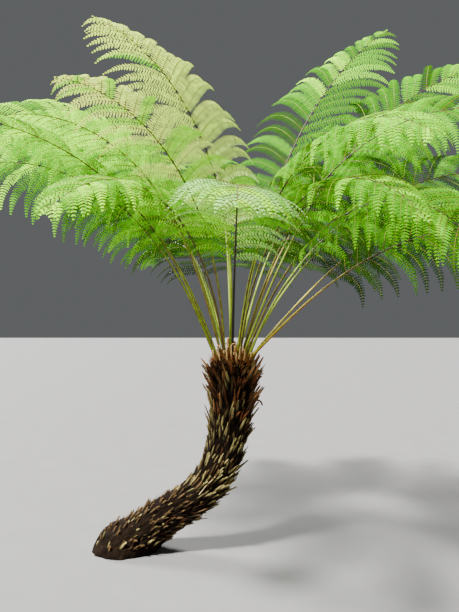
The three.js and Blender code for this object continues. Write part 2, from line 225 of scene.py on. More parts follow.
class TrunkSettings(bpy.types.PropertyGroup):
    stub_count: IntProperty(name="Stubs", description="Old stalk stubs on the trunk", default=1050)
    stub_length: size_property("Stub length", "Length of a stub low on the trunk", 0.14)
    stub_width: size_property("Stub width", "Width of a stub at its root", 0.019)
    fibre_count: IntProperty(name="Root fibres", description="Loose rootlets between the stubs", default=4200)
    scale_count: IntProperty(name="Scales", description="Hairy scales on the stalks' feet", default=5200)
    relief: size_property("Relief", "Depth of the furrows in the mat of rootlets", 0.016)
    mat_colour: colour_property("Mat", "Mat of rootlets between the stubs", "#150e07")
    stub_colour: colour_property("Stubs", "Dry, weathered stalk stubs", "#807446")
    brown_stub_colour: colour_property("Brown stubs", "Stubs that have kept their skin", "#4c3a20")
    young_stub_colour: colour_property("Young stubs", "Stubs under the crown", "#5a3419")
    tan_stub_colour: colour_property("Tan stubs", "Stubs under the crown with torn edges", "#835d36")
    scale_colour: colour_property("Scales", "The palest of the scales at the heart of the crown", "#bb9150")


class FrondSettings(bpy.types.PropertyGroup):
    pairs: IntProperty(name="Leaflet pairs", description="Pairs of leaflets on a frond", default=22)
    leaflet_length: size_property("Leaflet length", "The longest leaflet of a full-size frond", 0.49)
    segment_length: size_property("Segment length", "The longest leaf segment on a leaflet", 0.052)
    segment_spacing: size_property("Segment spacing", "From one leaf segment to the next", 0.0185)
    stalk_green: colour_property("Green stalk", "Fresh stalk", "#7a8c18")
    stalk_brown: colour_property("Brown stalk", "Ageing stalk", "#746e1e")
    stalk_red: colour_property("Red stalk", "Stalk flushed with orange", "#8e8618")
    stalk_dark: colour_property("Dark stalk", "Nearly black stalk", "#2a1f14")


class LeafSettings(bpy.types.PropertyGroup):
    # Deep and olive paint the shade inside and under the crown, together with the darker green of old leaves.
    deep: colour_property("Deep green", "Old leaves inside the crown", "#183a01")
    olive: colour_property("Olive green", "Leaves in the lower crown", "#2a5401")
    grass: colour_property("Grass green", "Most leaves", "#3c7c01")
    fresh: colour_property("Fresh green", "Leaves near the top", "#54a001")
    bright: colour_property("Yellow-green", "Young leaves", "#78c402")
    # Pale green is partly the leaves' own yellow-green and partly a painted sunlit highlight. Cream green, the
    # palest, is a painted highlight: leaves shown nearly white where the sun falls full on them.
    pale: colour_property("Pale green", "Bleached leaves", "#9ae402")
    bleached: colour_property("Cream green", "The most bleached leaves", "#e0f88e")
    # Silvery green is a painted highlight: the silvery-white shine of sunlit drooping leaflets.
    silver: colour_property("Silvery green", "Leaves with a waxy bloom", "#88c460")


class StageSettings(bpy.types.PropertyGroup):
    floor_size: size_property("Floor", "Width of the floor", 240.0)
    camera_lens: FloatProperty(name="Lens", description="Focal length in mm", default=36, unit="CAMERA")


LEAF_TINTS = tuple(LeafSettings.__annotations__)
SILVER_HIGHLIGHT_TINT = LEAF_TINTS.index("silver")


# Directions and frames.
def unit(v):
    return v / np.linalg.norm(v)


def mix(a, b, t):
    return a + (b - a) * t


def level(degrees):
    return np.array([cos(radians(degrees)), sin(radians(degrees)), 0.0])


def around(across, top, turn):
    return across * cos(turn) + top * sin(turn)


def tube_faces(rows, sides):
    """The faces of a tube whose points go ring by ring."""
    return [
        (k * sides + i, k * sides + (i + 1) % sides, (k + 1) * sides + (i + 1) % sides, (k + 1) * sides + i)
        for k in range(rows - 1)
        for i in range(sides)
    ]


def route_curve(points, samples=60):
    """A smooth line through the points, as a function of the share of its length."""
    points = [2 * points[0] - points[1], *points, 2 * points[-1] - points[-2]]
    places = []
    for a, b, c, d in zip(points, points[1:], points[2:], points[3:]):
        gaps = [sqrt(np.linalg.norm(q - p)) for p, q in ((a, b), (b, c), (c, d))]
        start = ((b - a) / gaps[0] - (c - a) / (gaps[0] + gaps[1]) + (c - b) / gaps[1]) * gaps[1]
        end = ((c - b) / gaps[1] - (d - b) / (gaps[1] + gaps[2]) + (d - c) / gaps[2]) * gaps[1]
        for i in range(samples):
            t = i / samples
            h = (2 * t**3 - 3 * t**2 + 1, t**3 - 2 * t**2 + t, -2 * t**3 + 3 * t**2, t**3 - t**2)
            places.append(h[0] * b + h[1] * start + h[2] * c + h[3] * end)
    places = np.array([*places, points[-2]])
    lengths = np.append(0, np.cumsum(np.linalg.norm(np.diff(places, axis=0), axis=1)))

    def at(share):
        return np.array([np.interp(share * lengths[-1], lengths, places[:, k]) for k in range(3)])

    return at, lengths[-1]


trunk_at, TRUNK_LENGTH = route_curve(list(TRUNK_ROUTE))


def trunk_section(t):
    """The middle, directions and radius of the trunk's core at a share of its route."""
    ahead = unit(trunk_at(min(t + 0.004, 1)) - trunk_at(max(t - 0.004, 0)))
    across = unit(np.cross(AWAY, ahead))
    flare = FLARE_EXTRA * exp(-max(t - FLARE_FROM, 0) / FLARE_REACH)
    radius = WAIST_RADIUS + flare + SHOULDER_EXTRA * t**SHOULDER_LATE
    return trunk_at(t), ahead, across, np.cross(ahead, across), radius


def core_section(share):
    """The same, with the dome above the route's end."""
    t = share / (1 - DOME_SHARE)
    if t <= 1:
        return trunk_section(t)
    middle, ahead, across, top, radius = trunk_section(1)
    climb = min((share - (1 - DOME_SHARE)) / DOME_SHARE, 1)
    radius *= sqrt(1 - (1 - DOME_TOP**2) * climb**2)
    return middle + ahead * DOME_HEIGHT * climb, ahead, across, top, radius


def frond_line(plan):
    """A frond's line: the place and the directions ahead, across and up at a share of its length."""
    out, height = TIERS[plan.tier]
    roll = radians(plan.turn)
    place = CROWN + level(plan.heading) * out + UP * height
    places, aheads, acrosses = [], [], []
    for i in range(LINE_STEPS + 1):
        u = i / LINE_STEPS
        climb = radians(plan.lift - plan.drop * u**plan.late)
        outward = level(plan.heading + plan.swing * u**SWING_LATE)
        ahead = outward * cos(climb) + UP * sin(climb)
        places.append(place)
        aheads.append(ahead)
        level_across = np.cross(UP, outward)
        acrosses.append(around(level_across, np.cross(ahead, level_across), roll))
        place = place + ahead * plan.length / LINE_STEPS
    places, aheads, acrosses = map(np.array, (places, aheads, acrosses))

    def at(u):
        i = min(max(int(u * LINE_STEPS), 0), LINE_STEPS - 1)
        share = u * LINE_STEPS - i
        middle = mix(places[i], places[i + 1], share)
        ahead, across = (unit(mix(rows[i], rows[i + 1], share)) for rows in (aheads, acrosses))
        return middle, ahead, across, np.cross(ahead, across)

    return at


def leaflet_share(v):
    if v < LONGEST_AT:
        return 1 - (1 - LEAFLET_FIRST) * (1 - v / LONGEST_AT) ** 2
    return 1 - (1 - LEAFLET_LAST) * ((v - LONGEST_AT) / (1 - LONGEST_AT)) ** SHORTENS


# Meshes and node trees.
def mesh_of(name, verts, edges=(), faces=(), **point_data):
    """A mesh with named values on its points. An int gives whole numbers, a row of three a direction."""
    mesh = bpy.data.meshes.new(name)
    mesh.from_pydata([tuple(map(float, v)) for v in verts], edges, faces)
    for key, values in point_data.items():
        values = np.array(values)
        kind = "FLOAT_VECTOR" if values.ndim == 2 else "INT" if values.dtype.kind == "i" else "FLOAT"
        slot = "vector" if values.ndim == 2 else "value"
        mesh.attributes.new(key, kind, "POINT").data.foreach_set(slot, values.ravel())
    return mesh


def linked(name, data):
    made = bpy.data.objects.new(name, data)
    bpy.context.scene.collection.objects.link(made)
    return made


def add(tree, kind, settings=None, out=None, **inputs):
    """Adds a node with its settings and links, and gives its first output, or the one named.

    An input is a socket to link or a value. It is named in lower case, or by in_ and its place.
    """
    made = tree.nodes.new(kind)
    for key, value in (settings or {}).items():
        if key == "stops":
            elements = made.color_ramp.elements
            while len(elements) < len(value):
                elements.new(0.5)
            for element, (place, colour) in zip(elements, value):
                element.position = place
                element.color = (*colour[:3], 1)
        else:
            setattr(made, key, value)
    for key, value in inputs.items():
        if key.startswith("in_"):
            socket = made.inputs[int(key[3:])]
        else:
            socket = next(s for s in made.inputs if s.enabled and s.name.lower().replace(" ", "_") == key)
        if isinstance(value, bpy.types.NodeSocket):
            tree.links.new(value, socket)
        else:
            socket.default_value = value
    return next((s for s in made.outputs if s.enabled and out in (None, s.name)), None)


def new_tree(name, **sizes):
    """A Geometry Nodes tree with a geometry input, named inputs and a geometry output."""
    tree = bpy.data.node_groups.new(name, "GeometryNodeTree")
    tree.interface.new_socket("Geometry", in_out="INPUT", socket_type="NodeSocketGeometry")
    for key, kind in sizes.items():
        tree.interface.new_socket(key.replace("_", " "), in_out="INPUT", socket_type="NodeSocket" + kind)
    tree.interface.new_socket("Geometry", in_out="OUTPUT", socket_type="NodeSocketGeometry")
    return tree, tree.nodes.new("NodeGroupInput").outputs


def grown(name, plan, tree, inputs):
    """A plain mesh object of what the tree grows from the plan."""
    source = linked(name + "_plan", plan)
    modifier = source.modifiers.new("Grow", "NODES")
    modifier.node_group = tree
    for item in tree.interface.items_tree:
        if item.item_type == "SOCKET" and item.in_out == "INPUT" and item.name in inputs:
            modifier[item.identifier] = inputs[item.name]
    depsgraph = bpy.context.evaluated_depsgraph_get()
    evaluated = source.evaluated_get(depsgraph)
    mesh = bpy.data.meshes.new_from_object(evaluated, preserve_all_data_layers=True, depsgraph=depsgraph)
    source.modifiers.remove(modifier)
    bpy.data.objects.remove(source)
    bpy.data.meshes.remove(plan)
    mesh.name = name
    return linked(name, mesh)


def dealt(tree, geometry, materials):
    """Gives each face the material that its tint names. It ends the tree."""
    geometry = add(tree, "GeometryNodeRealizeInstances", geometry=geometry)
    tint = add(tree, *WHOLE, name="tint")
    for number, material in enumerate(materials):
        same = {"data_type": "INT", "operation": "EQUAL"}
        chosen = add(tree, "FunctionNodeCompare", same, in_2=tint, in_3=number)
        given = {"geometry": geometry, "selection": chosen, "material": material}
        geometry = add(tree, "GeometryNodeSetMaterial", **given)
    tree.links.new(geometry, tree.nodes.new("NodeGroupOutput").inputs[0])


def leaflet_tree(materials):
    """Leaf segments in two rows along the leaflets' middle lines."""
    tree, given = new_tree("Fern leaflets", Segment="Object", Spacing="Float", Fill="Float", Seed="Int")
    curve = add(tree, "GeometryNodeMeshToCurve", mesh=given["Geometry"])
    curve = add(tree, "GeometryNodeResampleCurve", {"mode": "LENGTH"}, curve=curve, length=given["Spacing"])
    ahead = add(tree, "GeometryNodeInputTangent")
    normal = add(tree, *DIRECTION, name="normal")
    size = add(tree, *NUMBER, name="size")
    sideways = add(tree, *CROSS, in_0=normal, in_1=ahead)
    segment = add(tree, "GeometryNodeObjectInfo", out="Geometry", object=given["Segment"])
    width = add(tree, *PRODUCT, in_0=given["Spacing"], in_1=given["Fill"])
    join = tree.nodes.new("GeometryNodeJoinGeometry")
    for hand in (1.0, -1.0):
        # A segment leans ahead, tilts about its length, and is a little longer or shorter than the next.
        lean, tilt, share = (
            add(tree, *CHANCE, min=a, max=b, seed=add(tree, *SUM, in_0=given["Seed"], in_1=10 * hand + k))
            for k, (a, b) in enumerate([(0.26, 0.46), (-0.3, 0.3), (0.9, 1.06)])
        )
        leaning = add(tree, *SCALED, in_0=ahead, scale=lean)
        out = add(tree, *SCALED, in_0=sideways, scale=hand)
        out = add(tree, *VECTOR_SUM, in_0=out, in_1=leaning)
        tilted = add(tree, *SCALED, in_0=ahead, scale=tilt)
        face = add(tree, *VECTOR_SUM, in_0=normal, in_1=tilted)
        axes = {"primary_axis": "X", "secondary_axis": "Z"}
        turn = add(tree, "FunctionNodeAxesToRotation", axes, primary_axis=out, secondary_axis=face)
        long = add(tree, *PRODUCT, in_0=size, in_1=share)
        scale = add(tree, "ShaderNodeCombineXYZ", x=long, y=width, z=long)
        stood = {"points": curve, "instance": segment, "rotation": turn, "scale": scale}
        tree.links.new(add(tree, "GeometryNodeInstanceOnPoints", **stood), join.inputs[0])
    dealt(tree, join.outputs[0], materials)
    return tree


def limb_tree(name, materials):
    """Round limbs along lines, as thick as their points say. A pattern can follow their grain attribute,
    which holds a ring of 12 mm radius for the girth and the length in metres."""
    tree, given = new_tree(name, Sides="Int")
    curve = add(tree, "GeometryNodeMeshToCurve", mesh=given["Geometry"])
    far = add(tree, "GeometryNodeSplineParameter", out="Length")
    curve = add(tree, STORE, geometry=curve, name="along", value=far)
    ring = add(tree, "GeometryNodeCurvePrimitiveCircle", out="Curve", resolution=given["Sides"], radius=1.0)
    round_it = add(tree, "GeometryNodeSplineParameter", out="Factor")
    ring = add(tree, STORE, geometry=ring, name="turn", value=round_it)
    thick = add(tree, *NUMBER, name="thick")
    mesh = add(tree, "GeometryNodeCurveToMesh", curve=curve, profile_curve=ring, scale=thick, fill_caps=True)
    turn = add(tree, *NUMBER, name="turn")
    angle = add(tree, *PRODUCT, in_0=turn, in_1=tau)
    sides = [add(tree, *wave, in_0=angle) for wave in (COSINE, SINE)]
    x, y = (add(tree, *PRODUCT, in_0=side, in_1=GRAIN_RADIUS) for side in sides)
    along = add(tree, *NUMBER, name="along")
    grain = add(tree, "ShaderNodeCombineXYZ", x=x, y=y, z=along)
    mesh = add(tree, STORE, VECTOR, geometry=mesh, name="grain", value=grain)
    mesh = add(tree, "GeometryNodeSetShadeSmooth", geometry=mesh)
    dealt(tree, mesh, materials)
    return tree


def bristle_tree(name, materials):
    """One of several shapes stood on each point, by the directions, size and tint that the point holds."""
    tree, given = new_tree(name, Shapes="Collection", Seed="Int")
    each = {"collection": given["Shapes"], "separate_children": True, "reset_children": True}
    shapes = add(tree, "GeometryNodeCollectionInfo", **each)
    ahead, outward, size = (add(tree, *DIRECTION, name=key) for key in ("ahead", "outward", "size"))
    axes = {"primary_axis": "Z", "secondary_axis": "X"}
    turn = add(tree, "FunctionNodeAxesToRotation", axes, primary_axis=ahead, secondary_axis=outward)
    pick = add(tree, *CHOICE, min=0, max=63, seed=given["Seed"])
    chosen = {"instance": shapes, "pick_instance": True, "instance_index": pick}
    chosen.update(points=given["Geometry"], rotation=turn, scale=size)
    stood = add(tree, "GeometryNodeInstanceOnPoints", **chosen)
    shift = add(tree, *ANYWHERE, min=(0, 0, 0), max=(9, 9, 9), seed=given["Seed"])
    stood = add(tree, STORE, {**VECTOR, "domain": "INSTANCE"}, geometry=stood, name="shift", value=shift)
    dealt(tree, stood, materials)
    return tree


# Materials.
def new_material(name, colour=None, **inputs):
    """A material, its tree and its shader. The shader's inputs are named in lower case."""
    made = bpy.data.materials.new(name)
    made.use_nodes = True
    shader = made.node_tree.nodes["Principled BSDF"]
    if colour is not None:
        inputs["base_color"] = (*colour, 1)
    sockets = {socket.name.lower().replace(" ", "_"): socket for socket in shader.inputs}
    for key, value in inputs.items():
        sockets[key].default_value = value
    return made, made.node_tree, shader


def tone(colour, share):
    """A colour made darker or lighter."""
    return tuple(min(c * share, 1) for c in colour[:3])


def drawn_out(tree, place, stretch, scale, stops, detail=4.0, roughness=0.6):
    """Noise drawn out along a limb, and the colour that the stops give it."""
    long = add(tree, "ShaderNodeMapping", vector=place, scale=(1, 1, stretch))
    wave = add(tree, "ShaderNodeTexNoise", vector=long, scale=scale, detail=detail, roughness=roughness)
    return wave, add(tree, "ShaderNodeValToRGB", {"stops": stops}, fac=wave)


def grain_of(tree, shader, colour, height, depth):
    """Gives the shader its colour and the relief of its grain, depth in metres."""
    tree.links.new(colour, shader.inputs["Base Color"])
    tree.links.new(add(tree, "ShaderNodeBump", distance=depth, height=height), shader.inputs["Normal"])


def leaf_material(name, colour):
    """A living fern leaf, thin and matt. It glows yellower where light comes through."""
    made, tree, shader = new_material(name, colour, roughness=0.55, specular_ior_level=0.0)
    through = (min(colour[0] * 1.4, 1), min(colour[1] * 1.25, 1), colour[2] * 0.35, 1)
    glow = add(tree, "ShaderNodeBsdfTranslucent", color=through)
    both = add(tree, "ShaderNodeMixShader", in_0=LEAF_GLOW, in_1=shader.outputs[0], in_2=glow)
    tree.links.new(both, tree.nodes["Material Output"].inputs["Surface"])
    return made


def stalk_material(name, colour, flush, scaly_to=0.15):
    """A fern stalk or rib, smooth and semi-gloss: streaked lengthwise, flushed darker on one side, and covered
    with brown scales near its foot, up to a height in metres."""
    made, tree, shader = new_material(name, specular_ior_level=0.25)
    grain = add(tree, *GRAIN)
    # Streaks 3 mm apart and 75 mm long.
    stops = [(0.3, tone(colour, 0.6)), (0.5, colour), (0.72, tone(colour, 1.4))]
    streak, skin = drawn_out(tree, grain, 0.04, 330.0, stops)
    # The flush is on one side of the ring, with a ragged edge of blotches 60 mm long.
    side = add(tree, "ShaderNodeSeparateXYZ", out="Y", vector=grain)
    blotch = add(tree, "ShaderNodeTexNoise", vector=grain, scale=16.0, detail=4.0)
    side = add(tree, *PRODUCT, in_0=side, in_1=0.35 / GRAIN_RADIUS)
    side = add(tree, *SUM, in_0=side, in_1=blotch)
    flushed = add(tree, "ShaderNodeMapRange", value=side, in_1=0.62, in_2=0.76)
    skin = add(tree, *BLEND, in_0=flushed, in_6=skin, in_7=(*flush, 1))
    # Scales 4 mm across.
    along = add(tree, "ShaderNodeSeparateXYZ", out="Z", vector=grain)
    ends = {"in_1": scaly_to * 0.35, "in_2": scaly_to, "in_3": 1.7, "in_4": 0.0}
    foot = add(tree, "ShaderNodeMapRange", value=along, **ends)
    speck = add(tree, "ShaderNodeTexNoise", vector=grain, scale=240.0, detail=3.0)
    scaly = add(tree, *PRODUCT, in_0=foot, in_1=speck)
    scales = {"stops": [(0.35, linear("#2c170c")), (0.65, linear("#7a4421"))]}
    scales = add(tree, "ShaderNodeValToRGB", scales, fac=speck)
    skin = add(tree, *BLEND, in_0=scaly, in_6=skin, in_7=scales)
    # Within the blade, from 0.75 m up, the rib darkens to brown.
    high = add(tree, "ShaderNodeMapRange", value=along, in_1=0.75, in_2=1.25)
    skin = add(tree, *BLEND, in_0=high, in_6=skin, in_7=(*linear("#3b2c12"), 1))
    rough = add(tree, "ShaderNodeMapRange", value=scaly, in_3=0.5, in_4=0.85)
    tree.links.new(rough, shader.inputs["Roughness"])
    grain_of(tree, shader, skin, streak, 0.0012)
    return made


def mat_material(name, colour):
    """The mat of rootlets that covers the trunk: matt, wiry and nearly black, with fibres up the trunk."""
    made, tree, shader = new_material(name, roughness=0.92, specular_ior_level=0.05)
    grain = add(tree, *GRAIN)
    # Fibres 4 mm apart and 60 mm long, drawn coarser than the real 1 to 2 mm so that they show.
    stops = [(0.3, tone(colour, 0.3)), (0.52, colour), (0.75, linear("#3c2815"))]
    fibre, tint = drawn_out(tree, grain, 0.07, 250.0, stops, detail=6.0, roughness=0.65)
    # Damp, darker patches 70 mm across.
    patch = add(tree, "ShaderNodeTexNoise", vector=grain, scale=14.0, detail=4.0)
    tint = add(tree, *BLEND, in_0=patch, in_6=tint, in_7=(*tone(colour, 0.35), 1))
    grain_of(tree, shader, tint, fibre, 0.006)
    return made


def stub_material(name, colour, deep):
    """A dead stalk's stub, dry and dull: pale where its tip has weathered, and darkening towards its root into
    the colour of the mat.
    """
    made, tree, shader = new_material(name, roughness=0.85, specular_ior_level=0.12)
    grain = add(tree, *GRAIN)
    shift = add(tree, *SHIFT)
    place = add(tree, *VECTOR_SUM, in_0=grain, in_1=shift)
    # The grain goes from 0 to 1. On a stub 19 mm wide and 140 mm long, streaks are 3 mm apart and 50 mm long.
    stops = [(0.3, tone(colour, 0.3)), (0.5, colour), (0.75, tone(colour, 2.0))]
    streak, tint = drawn_out(tree, place, 0.5, 6.0, stops)
    # From one stub to the next the colour goes from less than half to one and a half times.
    lot = add(tree, "ShaderNodeSeparateXYZ", out="Y", vector=shift)
    lot = add(tree, "ShaderNodeMapRange", value=lot, in_1=0.0, in_2=9.0, in_3=0.45, in_4=1.5)
    tint = add(tree, *SCALED, in_0=tint, scale=lot)
    up = add(tree, "ShaderNodeSeparateXYZ", out="Z", vector=grain)
    ragged = add(tree, *PRODUCT, in_0=streak, in_1=0.6)
    ragged = add(tree, *SUM, in_0=up, in_1=ragged)
    root = add(tree, "ShaderNodeMapRange", value=ragged, in_1=0.6, in_2=1.05, in_3=1.0, in_4=0.0)
    tint = add(tree, *BLEND, in_0=root, in_6=tint, in_7=(*deep, 1))
    grain_of(tree, shader, tint, streak, 0.003)
    return made


def scaly_material(name, colour, deep):
    """A young frond or a curl wrapped in papery scales: dull, shaggy and golden brown."""
    made, tree, shader = new_material(name, roughness=0.85, sheen_weight=0.2)
    grain = add(tree, *GRAIN)
    # Scales 3 mm wide and 12 mm long.
    colour = linear(colour)
    stops = [(0.34, linear(deep)), (0.52, colour), (0.72, tone(colour, 1.7))]
    scale, tint = drawn_out(tree, grain, 0.25, 330.0, stops)
    grain_of(tree, shader, tint, scale, 0.004)
    return made


def strand_material(name, colour):
    """Wiry rootlets and scales: dry, dull and fibrous."""
    return new_material(name, colour, roughness=0.8, specular_ior_level=0.15)[0]


# Shapes that are stood many times.
def segment_shape():
    """A leaf segment 1 long and 1 wide, from its root along +X: a midline with lobes cut down to it."""
    lobes = 4
    verts, faces = [], []
    for k in range(lobes + 1):
        x = 0.9 * k / lobes
        verts.append((x, 0, -0.16 * x**2))
    verts.append((1, 0, -0.17))
    tip = lobes + 1
    for hand in (1, -1):
        for k in range(lobes):
            x0, x1 = 0.9 * k / lobes, 0.9 * (k + 1) / lobes
            middle = (x0 + x1) / 2
            half = 0.5 * (1 - 0.72 * middle**1.6) * (0.82 if k == 0 else 1)
            fold = -0.16 * middle**2 - 0.035
            a, b = len(verts), len(verts) + 1
            verts.append((x0 + 0.07, hand * half * 0.94, fold))
            verts.append((x1 + 0.005, hand * half, fold))
            faces.append((k, k + 1, b, a) if hand > 0 else (k, a, b, k + 1))
        end = len(verts) - 1
        faces.append((lobes, tip, end) if hand > 0 else (lobes, end, tip))
    return linked("segment_shape", mesh_of("segment_shape", verts, faces=faces))


def stub_shapes(seed, tip=0.62, bow=1.0, count=6):
    """Dead stalk stubs 1 long, 1 wide and 1 thick along +Z, bowed outwards (+X), with broken, hollow ends."""
    ring = [(-0.3, -0.5), (0.35, -0.5), (0.8, -0.42), (1, 0)]
    ring += [(0.8, 0.42), (0.35, 0.5), (-0.3, 0.5), (-0.45, 0)]
    rows = (0, 0.22, 0.45, 0.66, 0.84, 1.0)
    dealer = random.Random(seed)
    shapes = bpy.data.collections.new("Stub shapes")
    for n in range(count):
        bowed, skew = bow * dealer.uniform(0.1, 0.9), bow * dealer.uniform(-0.4, 0.4)
        break_slope, break_turn = dealer.uniform(0.02, 0.16), dealer.uniform(0, tau)
        verts = []
        for k, t in enumerate(rows):
            wide = mix(1, tip, t**1.2) * (1 + dealer.uniform(-0.06, 0.06))
            for i, (x, y) in enumerate(ring):
                z = t
                if k == len(rows) - 1:
                    z += break_slope * cos(tau * i / len(ring) + break_turn)
                    z += dealer.uniform(-0.035, 0.035)
                knob = 1 + dealer.uniform(-0.12, 0.12)
                verts.append((x * wide * knob + bowed * t**2.2, y * wide * knob + skew * t**2, z))
        sides = len(ring)
        faces = tube_faces(len(rows), sides)
        last = (len(rows) - 1) * sides
        rim = [verts[last + i] for i in range(sides)]
        middle = np.mean(rim, axis=0)
        inner = len(verts)
        for x, y, z in rim:
            verts.append((mix(middle[0], x, 0.6), mix(middle[1], y, 0.6), z - 0.05))
        verts.append((middle[0], middle[1], middle[2] - 0.09))
        for i in range(sides):
            j = (i + 1) % sides
            faces.append((last + i, last + j, inner + j, inner + i))
            faces.append((inner + i, inner + j, len(verts) - 1))
        faces.append(tuple(range(sides))[::-1])
        mesh = mesh_of(f"stub_{n}", verts, faces=faces, grain=[list(v) for v in verts])
        shapes.objects.link(bpy.data.objects.new(f"stub_{n}", mesh))
    return shapes


def strand_shapes(seed, count=5):
    """Thin strands 1 long and 1 wide along +Z, bent a little outwards (+X)."""
    dealer = random.Random(seed)
    shapes = bpy.data.collections.new("Strand shapes")
    for n in range(count):
        bow, wave = dealer.uniform(0.02, 0.3), dealer.uniform(-0.12, 0.12)
        verts = []
        for k in range(4):
            t = k / 3
            wide = mix(0.5, 0.12, t)
            for i in range(3):
                a = tau * i / 3
                x, y = wide * cos(a) + bow * 8 * t**2, wide * sin(a) + wave * 8 * sin(2.5 * t)
                verts.append((x, y, t))
        mesh = mesh_of(f"strand_{n}", verts, faces=tube_faces(4, 3) + [(2, 1, 0), (9, 10, 11)])
        shapes.objects.link(bpy.data.objects.new(f"strand_{n}", mesh))
    return shapes


def wire(rows):
    """Lines as a mesh of edges. Each row's points are a place, the direction of its top, a radius, the length
    of leaf segments there, and a tint."""
    edges, start = [], 0
    for row in rows:
        edges += [(start + k, start + k + 1) for k in range(len(row) - 1)]
        start += len(row)
    places, normals, thicks, sizes, tints = zip(*(point for row in rows for point in row))
    return mesh_of("wire", places, edges, normal=normals, thick=thicks, size=sizes, tint=np.array(tints))


def placed(piece, slot, *nodes):
    """Fixes a piece to the plant, in place of the CAD nodes."""
    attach(piece, BODY)
    if nodes:
        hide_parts(*nodes)
    return piece


# The pieces.
class FERN_OT_trunk(bpy.types.Operator):
    """The trunk: a furrowed mat of rootlets, the stubs of old stalks in their spiral, and loose rootlets"""

    bl_idname = "fern.trunk"
    bl_label = "Trunk"

    def execute(self, context):
        settings = context.scene.fern_trunk
        core = self.core(settings)
        placed(core, "bark", "trunk")
        core.data.materials.append(mat_material("Rootlet mat", settings.mat_colour))
        for piece in (*self.stubs(settings), self.fibres(settings), self.dead_stalks()):
            placed(piece, "bark")
        placed(self.scales(settings), "scales")
        return {"FINISHED"}

    def core(self, settings):
        sides, steps = 132, 260
        verts, grain = [], []
        for k in range(steps + 1):
            share = k / steps
            middle, _, across, top, radius = core_section(share)
            along = share * (TRUNK_LENGTH + DOME_HEIGHT)
            for i in range(sides):
                a = tau * i / sides
                outward = around(across, top, a)
                x, y = cos(a) * MAT_GRAIN_RADIUS, sin(a) * MAT_GRAIN_RADIUS
                # Furrows 30 mm apart and 110 mm long, and lumps 80 mm across.
                furrow = noise.fractal(Vector((x * 34, y * 34, along * 9)), 0.9, 2.1, 5)
                lump = noise.noise(Vector((x * 12, y * 12, along * 12 + 40)))
                swell = SWELL * min(max((SWELL_UNTIL - share) / 0.08, 0), 1)
                deep = settings.relief * (0.75 * furrow + 0.5 * lump + 0.15 + swell)
                verts.append(middle + outward * (radius + deep))
                grain.append((x, y, along))
        ends = [tuple(range(steps * sides, (steps + 1) * sides)), tuple(range(sides))[::-1]]
        mesh = mesh_of("trunk_mat", verts, faces=tube_faces(steps + 1, sides) + ends, grain=grain)
        shape = bmesh.new()
        shape.from_mesh(mesh)
        whole = shape.verts[:] + shape.edges[:] + shape.faces[:]
        cut = bmesh.ops.bisect_plane(shape, geom=whole, plane_co=(0, 0, 0), plane_no=UP, clear_inner=True)
        rim = [e for e in cut["geom_cut"] if isinstance(e, bmesh.types.BMEdge)]
        bmesh.ops.holes_fill(shape, edges=rim)
        for face in shape.faces:
            face.smooth = True
        shape.to_mesh(mesh)
        shape.free()
        return linked("trunk_mat", mesh)

    def stubs(self, settings):
        """Stubs in their spiral, uneven and with gaps: short and dark low down, slender and bleached half way
        up, and long, stout and splayed under the crown."""
        dealer = random.Random(7)
        low, high = [], []
        count = settings.stub_count
        for i in range(count):
            age = (i + 0.5) / count
            young = max((age - YOUNG_FROM) / (1 - YOUNG_FROM), 0)
            old = min(max((OLD_UNTIL - age) / 0.12, 0), 1)
            # One stub in ten is missing low down, and fewer under the crown.
            if dealer.random() < 0.1 - 0.1 * young:
                continue
            # They stand closer together towards the foot.
            share = min(max(STUBS_END * age**1.12 + dealer.uniform(-0.014, 0.014), 0), 1)
            middle, ahead, across, top, radius = trunk_section(share)
            turn = GOLDEN_ANGLE * i + dealer.uniform(-0.25, 0.25)
            outward = around(across, top, turn)
            splay = radians(mix(13, 34, young) + dealer.uniform(-8, 9))
            sideways = np.cross(ahead, outward) * dealer.uniform(-0.3, 0.3)
            way = unit(ahead * cos(splay) + outward * sin(splay) + sideways)
            length = settings.stub_length * mix(mix(1, 0.58, old), 1.3, young) * dealer.uniform(0.5, 1.15)
            root = middle + outward * (radius - mix(3, 12, young) * MM)
            if min(root[2], (root + way * length)[2]) < LOWEST:
                continue
            wide = settings.stub_width * mix(dealer.uniform(0.5, 1.0), dealer.uniform(0.7, 1.5), young)
            lot = dealer.random()
            if young + dealer.uniform(-0.25, 0.25) > 0.4:
                tint = 2 if lot < 0.5 else 1 if lot < 0.72 else 3 if lot < 0.9 else 0
                rows, thick = high if dealer.random() < 0.7 else low, 0.7
            else:
                tint = 0 if lot < mix(0.62, 0.13, old) else 1
                rows, thick = low, 0.62
            rows.append((root, way, outward, (wide * thick, wide, length), tint))
        deep = settings.mat_colour
        materials = [
            stub_material("Weathered dead stalk", settings.stub_colour, deep),
            stub_material("Brown dead stalk", settings.brown_stub_colour, deep),
            stub_material("Red-brown dead stalk", settings.young_stub_colour, deep),
            stub_material("Tan-edged dead stalk", settings.tan_stub_colour, linear("#3a1c0e")),
        ]
        tree = bristle_tree("Stalk stubs", materials)
        kinds = [("trunk_stubs", low, stub_shapes(11))]
        kinds += [("crown_stubs", high, stub_shapes(12, tip=0.3, bow=2.4))]
        return [self.bristles(*kind, tree, 5) for kind in kinds]

    def bristles(self, name, rows, shapes, tree, seed):
        """Shapes stood on points. A row is a place, the directions ahead and outward, a size and a tint."""
        places, aheads, outs, sizes, tints = zip(*rows)
        plan = mesh_of("plan", places, ahead=aheads, outward=outs, size=sizes, tint=np.array(tints))
        made = grown(name, plan, tree, {"Shapes": shapes, "Seed": seed})
        for shape in list(shapes.objects):
            bpy.data.objects.remove(shape)
        bpy.data.collections.remove(shapes)
        return made

